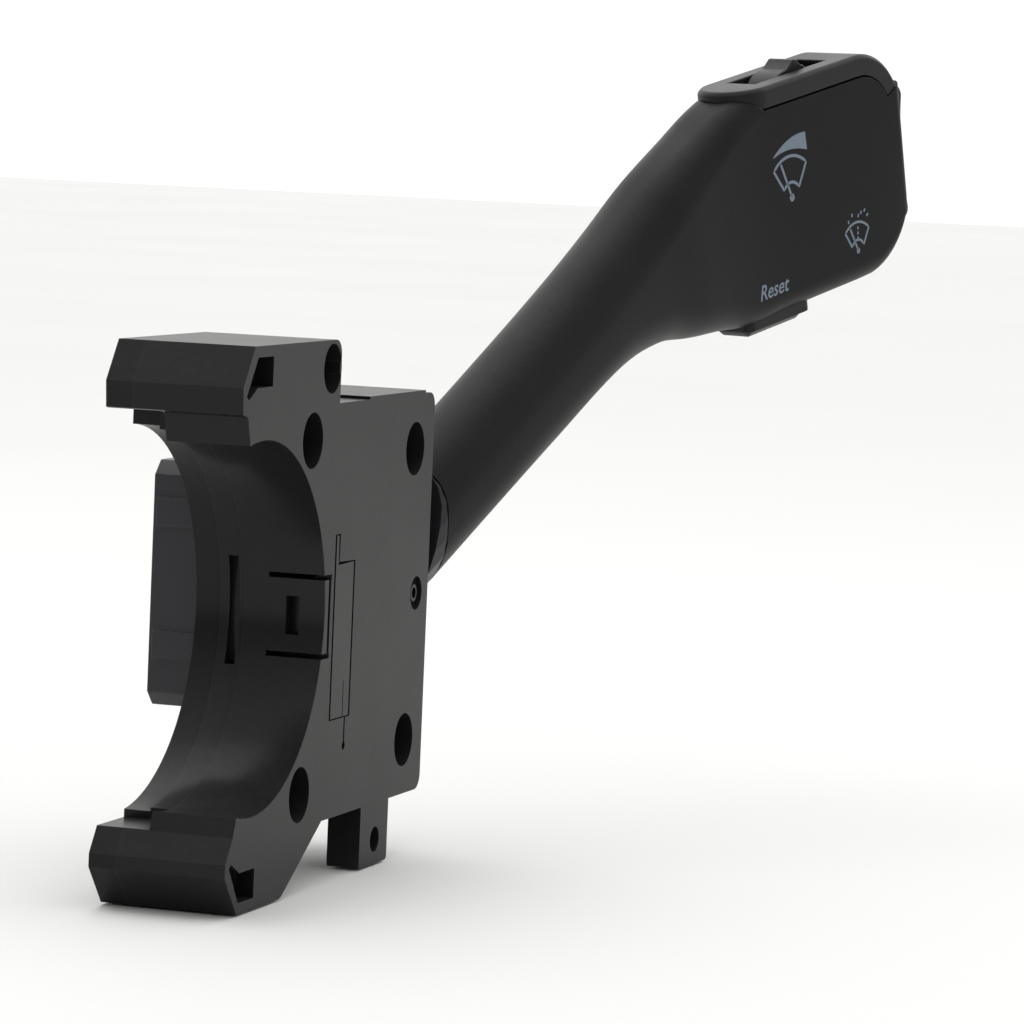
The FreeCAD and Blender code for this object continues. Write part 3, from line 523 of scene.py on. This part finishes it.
def wash_marks():
    """A small wiped field with drops on it and spray above."""
    root = (24.0, -15.6)
    patches = [wiped_field(root, (5.7, 43, 133), (2.2, 151, 23), wash_line),
               mark_strip([polar(root, 5.2, 114), root], wash_line),
               mark_patch(round_outline(root, wash_root_r, 12))]
    for reach in (2.2, 3.2, 4.2):
        drop = polar(root, reach, drop_turn)
        patches.append(mark_strip([drop, polar(root, reach + drop_length, drop_turn)], drop_line))
    for angle, reach in ((113, 6.4), (100, 7.1), (83, 6.6), (76, 7.2), (68, 7.8), (59, 7.2)):
        spray = polar(root, reach, angle)
        patches.append(mark_strip([spray, polar(spray, spray_length, angle - spray_bend)], drop_line))
    return patches


word_start = -10.1
word_foot = -17.9
word_width = 10.6
word_height = 2.9
word_slant = 0.3
letter_weight = 0.012


def reset_word():
    """The word above the button, in slanted narrow letters."""
    curve = bpy.data.curves.new("reset_word", "FONT")
    curve.body = "Reset"
    curve.offset = letter_weight
    curve.resolution_u = 3
    text = new_object("reset_word_curve", curve)
    mesh = bpy.data.meshes.new_from_object(text.evaluated_get(bpy.context.evaluated_depsgraph_get()))
    bpy.data.objects.remove(text)
    left = min(vertex.co.x for vertex in mesh.vertices)
    right = max(vertex.co.x for vertex in mesh.vertices)
    top = max(vertex.co.y for vertex in mesh.vertices)
    for vertex in mesh.vertices:
        v = vertex.co.y / top * word_height
        u = (vertex.co.x - left) / (right - left) * (word_width - word_slant * word_height)
        vertex.co = (word_start + u + v * word_slant, word_foot + v, 0)
    return mesh


# Painted shade: a dark line for the shadow in the gap round the insert key, and a dark disc for the shaded
# turned centre hole in the front pivot pin

key_left = 34.3
key_right = 43.2
key_top = 7.8
key_foot = -17.9
key_finger_top = 12.6
key_finger_width = 1.5
key_half_gap = 0.1
key_line_across = 0.56
pin_end_y = 0.4
pin_centre_r = 0.95


def key_gap_painted_shadow():
    """A painted shadow line in the gap round the key, 0.4 mm wide: the strip's width is the one across its
    corners.
    """
    left = key_left - key_half_gap
    right = key_right + key_half_gap
    foot = key_foot - key_half_gap
    top = key_top + key_half_gap
    finger_right = key_left + key_finger_width + key_half_gap
    finger_top = key_finger_top + key_half_gap
    corners = [(left, foot), (right, foot), (right, top), (finger_right, top), (finger_right, finger_top),
               (left, finger_top)]
    points, faces = mark_strip(corners, key_line_across, True)
    return mesh_piece("key_gap_painted_shadow", [(x, -mark_rise, z) for x, z in points], faces)


# Painted shade: a dark disc standing for the shaded centre hole in the pin's end
def pin_hole_painted_shade():
    outline = round_outline((pivot.x, pivot.z), pin_centre_r, 24)
    points = [(x, pin_end_y - mark_rise, z) for x, z in outline]
    return mesh_piece("pin_hole_painted_shade", points, [range(len(points))])


# Shader groups

round_samples = 6


def shader_group(name, inputs, outputs):
    """A node group with named float sockets."""
    group = bpy.data.node_groups.new(name, "ShaderNodeTree")
    for label, value in inputs:
        socket = group.interface.new_socket(name=label, in_out="INPUT", socket_type="NodeSocketFloat")
        socket.default_value = value
    for label in outputs:
        group.interface.new_socket(name=label, in_out="OUTPUT", socket_type="NodeSocketFloat")
    enter = group.nodes.new("NodeGroupInput")
    leave = group.nodes.new("NodeGroupOutput")
    return group, enter, leave


def math_node(tree, operation, first, second):
    node = tree.nodes.new("ShaderNodeMath")
    node.operation = operation
    for index, value in enumerate((first, second)):
        if isinstance(value, (int, float)):
            node.inputs[index].default_value = value
        else:
            tree.links.new(value, node.inputs[index])
    return node.outputs[0]


def object_coordinates(tree):
    return tree.nodes.new("ShaderNodeTexCoord").outputs["Object"]


def noise(tree, scale, detail=2.0, stretch=None):
    """Noise over the object, if asked stretched along X, Y and Z."""
    place = object_coordinates(tree)
    if stretch:
        mapping = tree.nodes.new("ShaderNodeMapping")
        mapping.inputs["Scale"].default_value = stretch
        tree.links.new(place, mapping.inputs["Vector"])
        place = mapping.outputs["Vector"]
    node = tree.nodes.new("ShaderNodeTexNoise")
    node.inputs["Detail"].default_value = detail
    tree.links.new(place, node.inputs["Vector"])
    if isinstance(scale, (int, float)):
        node.inputs["Scale"].default_value = scale
    else:
        tree.links.new(scale, node.inputs["Scale"])
    return node.outputs["Fac"]


def moulded_grain():
    """Spark-eroded grain: fine pits, and a slow mottle of the sheen."""
    inputs = [("Scale", 2600.0), ("Pit Share", 0.5)]
    group, enter, leave = shader_group("moulded grain", inputs, ["Height", "Mottle"])
    fine = noise(group, enter.outputs["Scale"], detail=3.0)
    pits = group.nodes.new("ShaderNodeTexVoronoi")
    group.links.new(object_coordinates(group), pits.inputs["Vector"])
    group.links.new(enter.outputs["Scale"], pits.inputs["Scale"])
    pit_height = math_node(group, "MULTIPLY", pits.outputs["Distance"], enter.outputs["Pit Share"])
    group.links.new(math_node(group, "ADD", fine, pit_height), leave.inputs["Height"])
    slow = noise(group, scale=60.0, detail=4.0)
    group.links.new(slow, leave.inputs["Mottle"])
    return group


def edge_wear_and_highlight():
    """Worn edges, and a painted highlight along them: where the rounded normal leaves the flat one, broken up
    by noise.
    """
    group, enter, leave = shader_group("edge wear", [("Radius", 0.0004), ("Strength", 3.0)], ["Mask"])
    rounded = group.nodes.new("ShaderNodeBevel")
    rounded.samples = round_samples
    group.links.new(enter.outputs["Radius"], rounded.inputs["Radius"])
    flat = group.nodes.new("ShaderNodeNewGeometry")
    dot = group.nodes.new("ShaderNodeVectorMath")
    dot.operation = "DOT_PRODUCT"
    group.links.new(rounded.outputs["Normal"], dot.inputs[0])
    group.links.new(flat.outputs["Normal"], dot.inputs[1])
    lean = math_node(group, "SUBTRACT", 1.0, dot.outputs["Value"])
    wear = math_node(group, "MULTIPLY", lean, enter.outputs["Strength"])
    broken = math_node(group, "MULTIPLY", wear, noise(group, scale=700.0, detail=3.0))
    group.links.new(math_node(group, "MINIMUM", broken, 1.0), leave.inputs["Mask"])
    return group


def settled_dust():
    """Dust on faces that look up, in soft patches."""
    group, enter, leave = shader_group("settled dust", [("Reach", 0.5)], ["Mask"])
    geometry = group.nodes.new("ShaderNodeNewGeometry")
    split = group.nodes.new("ShaderNodeSeparateXYZ")
    group.links.new(geometry.outputs["Normal"], split.inputs[0])
    lift = math_node(group, "MAXIMUM", split.outputs["Z"], 0.0)
    wide = noise(group, scale=140.0, detail=5.0)
    fine = noise(group, scale=900.0, detail=2.0)
    patch = math_node(group, "MULTIPLY", wide, fine)
    patchy = math_node(group, "MULTIPLY", lift, patch)
    group.links.new(math_node(group, "MULTIPLY", patchy, enter.outputs["Reach"]), leave.inputs["Mask"])
    return group


def flow_marks():
    """Faint streaks that a moulding tool leaves along the draw."""
    group, enter, leave = shader_group("flow marks", [("Scale", 120.0)], ["Mask"])
    streaks = noise(group, enter.outputs["Scale"], detail=3.0, stretch=(1.0, 1.0, 0.12))
    group.links.new(streaks, leave.inputs["Mask"])
    return group


dust_colour = (0.36, 0.34, 0.31, 1.0)
worn_metal = (0.8, 0.8, 0.82, 1.0)
edge_shade = 0.2 * mm
gloss_roughness = 0.2
grain_group = moulded_grain()
wear_and_highlight_group = edge_wear_and_highlight()
dust_group = settled_dust()
flow_group = flow_marks()


def place_group(tree, group, **values):
    node = tree.nodes.new("ShaderNodeGroup")
    node.node_tree = group
    for label, value in values.items():
        node.inputs[label.replace("_", " ")].default_value = value
    return node


# Colour sockets of a mix node
mix_first = 6
mix_second = 7
mix_result = 2


def mix_colour(tree, mask, first, second):
    node = tree.nodes.new("ShaderNodeMix")
    node.data_type = "RGBA"
    tree.links.new(mask, node.inputs["Factor"])
    for index, value in ((mix_first, first), (mix_second, second)):
        if isinstance(value, tuple):
            node.inputs[index].default_value = value
        else:
            tree.links.new(value, node.inputs[index])
    return node.outputs[mix_result]


def spread(tree, value, low, high):
    """Carry a 0 to 1 value to a range."""
    node = tree.nodes.new("ShaderNodeMapRange")
    node.inputs["To Min"].default_value = low
    node.inputs["To Max"].default_value = high
    tree.links.new(value, node.inputs["Value"])
    return node.outputs["Result"]


def bump(tree, height, strength, distance):
    """Relief on top of lightly rounded edges."""
    rounded = tree.nodes.new("ShaderNodeBevel")
    rounded.samples = round_samples
    rounded.inputs["Radius"].default_value = edge_shade
    node = tree.nodes.new("ShaderNodeBump")
    tree.links.new(rounded.outputs["Normal"], node.inputs["Normal"])
    node.inputs["Strength"].default_value = strength
    node.inputs["Distance"].default_value = distance
    tree.links.new(height, node.inputs["Height"])
    return node.outputs["Normal"]


def new_material(name):
    material = bpy.data.materials.new(name)
    material.use_nodes = True
    tree = material.node_tree
    return material, tree, tree.nodes["Principled BSDF"]


def brighter(colour, gain, lift=0.0):
    return tuple(min(c * gain + lift, 1.0) for c in colour[:3]) + (1.0,)


def moulded_plastic(name, dark, light, rough, grain_scale, grain_depth, wear, dust, specular=0.5, sheen=0.0):
    """Grained plastic with mottled sheen, edges lightened partly by rubbing and partly as a painted
    highlight, and a little dust, under a skin of even gloss.
    """
    material, tree, shader = new_material(name)
    grain = place_group(tree, grain_group, Scale=grain_scale)
    edge_rub_and_light = place_group(tree, wear_and_highlight_group, Strength=wear)
    dusty = place_group(tree, dust_group, Reach=dust)
    flow = place_group(tree, flow_group)
    body = mix_colour(tree, grain.outputs["Mottle"], dark, light)
    streaked = mix_colour(tree, spread(tree, flow.outputs["Mask"], low=-0.2, high=0.5), body, light)
    # Painted highlight on the rounded edges, with a little rubbing: the edge mask lifts the colour 2.6 times
    edged = mix_colour(tree, edge_rub_and_light.outputs["Mask"], streaked, brighter(light, gain=2.6, lift=0.02))
    dusted = mix_colour(tree, dusty.outputs["Mask"], edged, dust_colour)
    tree.links.new(dusted, shader.inputs["Base Color"])
    roughness = spread(tree, grain.outputs["Mottle"], rough - 0.08, rough + 0.08)
    tree.links.new(roughness, shader.inputs["Roughness"])
    relief = bump(tree, grain.outputs["Height"], strength=0.5, distance=grain_depth)
    tree.links.new(relief, shader.inputs["Normal"])
    shader.inputs["Specular IOR Level"].default_value = specular
    shader.inputs["Coat Weight"].default_value = sheen
    shader.inputs["Coat Roughness"].default_value = gloss_roughness
    return material


def worn_steel(name, colour, rough):
    """Drawn steel with fine lines along it."""
    material, tree, shader = new_material(name)
    lines = noise(tree, scale=900.0, detail=4.0, stretch=(0.1, 1.0, 1.0))
    edge_rub_and_light = place_group(tree, wear_and_highlight_group, Strength=2.0)
    toned = mix_colour(tree, lines, colour, brighter(colour, 1.25))
    tree.links.new(mix_colour(tree, edge_rub_and_light.outputs["Mask"], toned, worn_metal), shader.inputs["Base Color"])
    tree.links.new(spread(tree, lines, rough - 0.08, rough + 0.12), shader.inputs["Roughness"])
    tree.links.new(bump(tree, lines, strength=0.2, distance=0.02 * mm), shader.inputs["Normal"])
    shader.inputs["Metallic"].default_value = 1.0
    return material


def solder_resist(name):
    """Circuit board: green lacquer over copper tracks."""
    material, tree, shader = new_material(name)
    tracks = tree.nodes.new("ShaderNodeTexBrick")
    tracks.inputs["Scale"].default_value = 420.0
    tracks.inputs["Mortar Size"].default_value = 0.03
    tree.links.new(object_coordinates(tree), tracks.inputs["Vector"])
    grain = place_group(tree, grain_group, Scale=1800.0)
    body = mix_colour(tree, tracks.outputs["Fac"], (0.012, 0.07, 0.03, 1.0), (0.03, 0.14, 0.06, 1.0))
    tree.links.new(body, shader.inputs["Base Color"])
    tree.links.new(spread(tree, grain.outputs["Mottle"], 0.25, 0.4), shader.inputs["Roughness"])
    relief = bump(tree, tracks.outputs["Fac"], strength=0.3, distance=0.03 * mm)
    tree.links.new(relief, shader.inputs["Normal"])
    return material


def printed_ink(name):
    """Pad-printed grey-blue ink with a slightly uneven cover."""
    material, tree, shader = new_material(name)
    cover = noise(tree, scale=1500.0, detail=3.0)
    ink = mix_colour(tree, cover, (0.13, 0.17, 0.22, 1.0), (0.17, 0.215, 0.27, 1.0))
    tree.links.new(ink, shader.inputs["Base Color"])
    tree.links.new(spread(tree, cover, 0.45, 0.65), shader.inputs["Roughness"])
    tree.links.new(bump(tree, cover, strength=0.2, distance=0.02 * mm), shader.inputs["Normal"])
    return material


housing_plastic = moulded_plastic(
    "housing plastic", dark=(0.0095, 0.0095, 0.0100, 1), light=(0.0140, 0.0140, 0.0143, 1),
    rough=0.46, grain_scale=2400.0, grain_depth=0.06 * mm, wear=1.2, dust=0.08, specular=0.03, sheen=0.3)
cover_plastic = moulded_plastic(
    "cover plastic", dark=(0.0085, 0.0085, 0.0090, 1), light=(0.0120, 0.0120, 0.0125, 1),
    rough=0.44, grain_scale=2400.0, grain_depth=0.06 * mm, wear=1.2, dust=0.08, specular=0.03, sheen=0.28)
connector_plastic = moulded_plastic(
    "connector plastic", dark=(0.020, 0.019, 0.024, 1), light=(0.027, 0.026, 0.032, 1),
    rough=0.42, grain_scale=3200.0, grain_depth=0.03 * mm, wear=1.2, dust=0.08, specular=0.4)
insert_plastic = moulded_plastic(
    "insert plastic", dark=(0.0125, 0.0125, 0.0130, 1), light=(0.0170, 0.0170, 0.0172, 1),
    rough=0.46, grain_scale=2600.0, grain_depth=0.05 * mm, wear=1.2, dust=0.08, specular=0.03, sheen=0.32)
lever_plastic = moulded_plastic(
    "lever plastic", dark=(0.0060, 0.0060, 0.0064, 1), light=(0.0090, 0.0090, 0.0094, 1),
    rough=0.42, grain_scale=2900.0, grain_depth=0.05 * mm, wear=1.0, dust=0.05, specular=0.09)
cap_plastic = moulded_plastic(
    "cap plastic", dark=(0.0070, 0.0070, 0.0075, 1), light=(0.0105, 0.0105, 0.0110, 1),
    rough=0.40, grain_scale=2900.0, grain_depth=0.05 * mm, wear=1.2, dust=0.07, specular=0.2)
button_plastic = moulded_plastic(
    "button plastic", dark=(0.0060, 0.0064, 0.0080, 1), light=(0.0095, 0.0100, 0.0130, 1),
    rough=0.36, grain_scale=3400.0, grain_depth=0.04 * mm, wear=1.2, dust=0.06, specular=0.22)
natural_acetal = moulded_plastic(
    "natural acetal", dark=(0.60, 0.59, 0.55, 1), light=(0.70, 0.69, 0.65, 1),
    rough=0.42, grain_scale=2200.0, grain_depth=0.03 * mm, wear=0.3, dust=0.2)
dark_acetal = moulded_plastic(
    "dark acetal", dark=(0.016, 0.016, 0.017, 1), light=(0.024, 0.024, 0.025, 1),
    rough=0.40, grain_scale=2200.0, grain_depth=0.03 * mm, wear=0.8, dust=0.1)
bright_steel = worn_steel("drawn steel", (0.50, 0.50, 0.52, 1), 0.32)
spring_wire = worn_steel("spring wire", (0.34, 0.34, 0.36, 1), 0.36)
black_steel = moulded_plastic(
    "blackened steel", dark=(0.012, 0.012, 0.013, 1), light=(0.018, 0.018, 0.020, 1),
    rough=0.36, grain_scale=3200.0, grain_depth=0.02 * mm, wear=0.6, dust=0.02, specular=0.2)
plated_brass = worn_steel("plated brass", (0.66, 0.50, 0.22, 1), 0.30)
board_lacquer = solder_resist("board lacquer")
mark_ink = printed_ink("mark ink")
# Matte near-black with no gloss, for painted shade: the key gap's shadow line and the pin's shaded centre
# hole
painted_shade = moulded_plastic(
    "gap shade", dark=(0.0015, 0.0015, 0.0016, 1), light=(0.0030, 0.0030, 0.0031, 1),
    rough=0.8, grain_scale=2400.0, grain_depth=0.02 * mm, wear=0.0, dust=0.0, specular=0.0)

finishes = {
    "front_housing": housing_plastic, "rear_cover": cover_plastic, "insert_key": insert_plastic,
    "cover_screws": bright_steel, "connector_shroud": connector_plastic, "connector_pins": plated_brass,
    "circuit_board": board_lacquer, "contact_strips": plated_brass, "slide_guide": natural_acetal,
    "detent_cam": natural_acetal, "washer_contact": plated_brass, "swing_carrier": dark_acetal,
    "pivot_pins": black_steel, "cross_pin": bright_steel, "detent_plunger": bright_steel,
    "detent_spring": spring_wire, "mode_slider": natural_acetal, "mode_contacts": plated_brass,
    "washer_plunger": natural_acetal, "lever_core": black_steel, "root_collar": button_plastic,
    "lever_shell": lever_plastic, "lever_cap": cap_plastic, "reset_collar": cap_plastic,
    "lever_board": board_lacquer, "rocker_pin": bright_steel, "rocker_switches": connector_plastic,
    "reset_switch": connector_plastic, "interval_slider": button_plastic, "slider_wiper": plated_brass,
    "end_rocker": button_plastic, "reset_button": button_plastic}
edge_rounds = {
    "connector_shroud": 0.25, "lever_cap": 0.3, "interval_slider": 0.25, "end_rocker": 0.3,
    "reset_collar": 0.2, "reset_button": 0.25}


def paint(piece, material):
    piece.data.materials.clear()
    piece.data.materials.append(material)


for name, node in nodes.items():
    paint(node, finishes[name])
    if name in edge_rounds:
        soften(node, edge_rounds[name])
    else:
        smooth(node)

skin = lever_skin()
paint(skin, lever_plastic)
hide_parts("lever_shell")
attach(skin, "lever")

rims = (("arm_rim_front", "front_housing", rim_inset, housing_joint - rim_half_seam),
        ("arm_rim_rear", "rear_cover", housing_joint + rim_half_seam, housing_rear - rim_inset))
for name, node_name, y_from, y_to in rims:
    rim = arm_hole_rim(name, y_from, y_to)
    smooth(rim)
    paint(rim, finishes[node_name])
    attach(rim, "housing")

# The painted shade pieces, each attached to its body: the key gap's shadow line and the pin's shaded centre
# hole
for dark, slot, body in ((key_gap_painted_shadow(), "insert", "housing"), (pin_hole_painted_shade(), "steel", "carrier")):
    paint(dark, painted_shade)
    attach(dark, body)

mark_meshes = {"wiper_marks": flat_mark("wiper_marks", wiper_marks()),
               "wash_marks": flat_mark("wash_marks", wash_marks()), "reset_word": reset_word()}
for name, mesh in mark_meshes.items():
    marks = lay_on_skin(name, mesh, skin)
    paint(marks, mark_ink)
    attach(marks, "lever")


# Floor, light and camera

def pale_floor():
    corners = [(-floor_half, -floor_half, floor_z), (floor_half, -floor_half, floor_z),
               (floor_half, floor_half, floor_z), (-floor_half, floor_half, floor_z)]
    mesh = bpy.data.meshes.new("floor")
    mesh.from_pydata(corners, [], [(0, 1, 2, 3)])
    floor = new_object("floor", mesh)
    material, tree, shader = new_material("pale floor")
    tone = noise(tree, scale=3.0, detail=2.0)
    pale = mix_colour(tree, tone, (0.80, 0.80, 0.79, 1.0), (0.86, 0.86, 0.85, 1.0))
    tree.links.new(pale, shader.inputs["Base Color"])
    tree.links.new(spread(tree, tone, 0.7, 0.85), shader.inputs["Roughness"])
    paint(floor, material)


def area_light(name, place, target, size, power):
    data = bpy.data.lights.new(name, "AREA")
    data.shape = "SQUARE"
    data.size = size
    data.energy = power
    light = bpy.data.objects.new(name, data)
    bpy.context.scene.collection.objects.link(light)
    light.location = place
    light.rotation_euler = (Vector(target) - Vector(place)).to_track_quat("-Z", "Y").to_euler()


def add_camera():
    data = bpy.data.cameras.new("camera")
    data.sensor_width = sensor
    data.lens = focal_in_widths * sensor
    data.clip_start = 0.05
    data.clip_end = 50.0
    camera = bpy.data.objects.new("camera", data)
    bpy.context.scene.collection.objects.link(camera)
    backward = camera_right.cross(camera_up).normalized()
    axes = Matrix((camera_right, camera_up, backward)).transposed().to_4x4()
    camera.matrix_world = Matrix.Translation(camera_at) @ axes
    bpy.context.scene.camera = camera


def studio_world():
    """A bright wall behind the part that fades to a dim room on the near side."""
    world = bpy.data.worlds.new("studio")
    world.use_nodes = True
    tree = world.node_tree
    direction = tree.nodes.new("ShaderNodeTexCoord").outputs["Generated"]
    facing = tree.nodes.new("ShaderNodeVectorMath")
    facing.operation = "DOT_PRODUCT"
    tree.links.new(direction, facing.inputs[0])
    facing.inputs[1].default_value = camera_up.cross(camera_right).normalized()
    fade = tree.nodes.new("ShaderNodeMapRange")
    fade.interpolation_type = "SMOOTHSTEP"
    fade.inputs["From Min"].default_value = room_edge
    fade.inputs["From Max"].default_value = wall_edge
    fade.inputs["To Min"].default_value = room_strength
    fade.inputs["To Max"].default_value = wall_strength
    tree.links.new(facing.outputs["Value"], fade.inputs["Value"])
    height = tree.nodes.new("ShaderNodeSeparateXYZ")
    tree.links.new(direction, height.inputs[0])
    lift = math_node(tree, "MAXIMUM", height.outputs["Z"], 0.0)
    overhead = math_node(tree, "MULTIPLY", lift, overhead_strength)
    background = tree.nodes["Background"]
    background.inputs["Color"].default_value = backdrop_colour
    tree.links.new(math_node(tree, "ADD", fade.outputs["Result"], overhead), background.inputs["Strength"])
    bpy.context.scene.world = world


pale_floor()
area_light("top light", top_light_at, lit_middle, size=0.7, power=1.2)
area_light("front light", front_light_at, lit_middle, size=0.8, power=0.8)
studio_world()
bpy.context.scene.view_settings.view_transform = "Standard"
add_camera()
